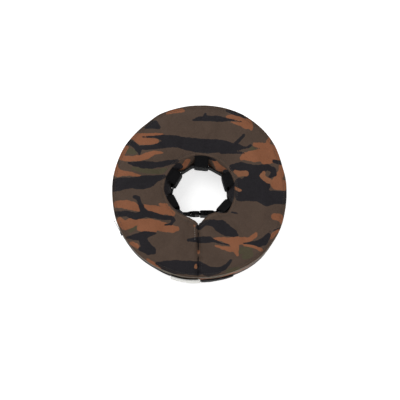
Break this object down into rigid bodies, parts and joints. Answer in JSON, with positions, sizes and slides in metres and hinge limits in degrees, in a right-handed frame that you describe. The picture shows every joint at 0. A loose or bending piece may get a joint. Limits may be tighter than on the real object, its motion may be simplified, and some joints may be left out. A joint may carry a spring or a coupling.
{
  "type": "inflatable pet recovery collar",
  "caption": "Stuffed ring collar in camouflage cloth with a slit, a webbing neck strap run through loops, a side release buckle, a cover zip and a blank label.",
  "frame": {"origin": "on the ring's axis, in the plane that the back face rests on", "axes": "+Z along the ring's axis, out of the front face; -Y towards the slit and the buckle; +X towards the female half of the buckle"},
  "size_m": [0.3162, 0.3169, 0.0793],
  "materials": {
    "camouflage_fabric": "matt woven polyester with woodland camouflage blotches",
    "seam_piping": "matt cloth tape",
    "black_webbing": "flat woven nylon webbing",
    "black_plastic": "moulded acetal, satin to glossy",
    "hook_and_loop": "fuzzy hook and loop tape",
    "vinyl": "soft vinyl sheet",
    "label_cloth": "white woven label, blank",
    "gunmetal": "dark plated die cast zinc"
  },
  "bodies": {
    "collar_left": {"front_panel_left": "camouflage_fabric", "back_panel_left": "camouflage_fabric", "outer_gusset_left": "camouflage_fabric", "neck_gusset_left": "camouflage_fabric", "front_outer_piping_left": "seam_piping", "back_outer_piping_left": "seam_piping", "front_neck_piping_left": "seam_piping", "back_neck_piping_left": "seam_piping", "bladder_left": "vinyl", "end_panel_left": "camouflage_fabric", "end_loop_patch_left": "hook_and_loop", "webbing_loop_crown": "black_webbing", "webbing_loop_left_upper": "black_webbing", "webbing_loop_left_lower": "black_webbing", "neck_strap_left": "black_webbing", "buckle_male": "black_plastic", "zip_tape_upper": "black_webbing", "zip_tape_lower": "black_webbing", "zip_teeth_upper": "black_plastic", "zip_teeth_lower": "black_plastic", "zip_end_stop": "gunmetal", "closure_tab_base": "black_webbing", "blank_label": "label_cloth", "valve_flange": "vinyl", "valve_port_eyelet": "gunmetal", "valve_stem": "vinyl"},
    "collar_right": {"front_panel_right": "camouflage_fabric", "back_panel_right": "camouflage_fabric", "outer_gusset_right": "camouflage_fabric", "neck_gusset_right": "camouflage_fabric", "front_outer_piping_right": "seam_piping", "back_outer_piping_right": "seam_piping", "front_neck_piping_right": "seam_piping", "back_neck_piping_right": "seam_piping", "bladder_right": "vinyl", "end_panel_right": "camouflage_fabric", "end_hook_patch_right": "hook_and_loop", "webbing_loop_right_lower": "black_webbing", "webbing_loop_right_upper": "black_webbing", "neck_strap_right": "black_webbing", "buckle_female": "black_plastic", "closure_loop_patch": "hook_and_loop"},
    "slider": {"zip_slider": "gunmetal"},
    "pull": {"zip_pull": "gunmetal"},
    "closure_flap": {"closure_tab_flap": "black_webbing", "closure_hook_strip": "hook_and_loop"},
    "prong_front": {"release_prong_front": "black_plastic"},
    "prong_back": {"release_prong_back": "black_plastic"},
    "plug": {"valve_plug": "vinyl"}
  },
  "joints": [
    {"name": "collar_open", "type": "hinge", "parent": "collar_left", "child": "collar_right", "pos_m": [0, 0.158, 0.0396], "axis": [0, 0, 1], "range_deg": [0, 24], "stiffness_Nm_per_rad": 0.6, "deforming": ["release_prong_front", "release_prong_back"]},
    {"name": "closure_peel", "type": "hinge", "parent": "collar_left", "child": "closure_flap", "pos_m": [0.00279, -0.15973, 0.0215], "axis": [0, 0, -1], "range_deg": [0, 102]},
    {"name": "zip_travel", "type": "hinge", "parent": "collar_left", "child": "slider", "pos_m": [0, 0, 0.018], "axis": [0, 0, 1], "range_deg": [0, 40]},
    {"name": "zip_pull_swing", "type": "hinge", "parent": "slider", "child": "pull", "pos_m": [-0.1434, -0.07119, 0.018], "axis": [0, 0, 1], "range_deg": [0, 168]},
    {"name": "prong_front_squeeze", "type": "hinge", "parent": "collar_left", "child": "prong_front", "pos_m": [0.001, -0.0385, 0.05], "axis": [0, 1, 0], "range_deg": [0, 12], "stiffness_Nm_per_rad": 0.0002},
    {"name": "prong_back_squeeze", "type": "hinge", "parent": "collar_left", "child": "prong_back", "pos_m": [0.001, -0.0385, 0.0292], "axis": [0, -1, 0], "range_deg": [0, 12]},
    {"name": "valve_plug_pull", "type": "slide", "parent": "collar_left", "child": "plug", "axis": [-0.7071, 0.7071, 0], "range_m": [0, 0.01]}
  ],
  "couplings": [
    {"joint": "closure_peel", "follows": "collar_open", "ratio": 4.2},
    {"joint": "prong_back_squeeze", "follows": "prong_front_squeeze", "ratio": 1}
  ]
}
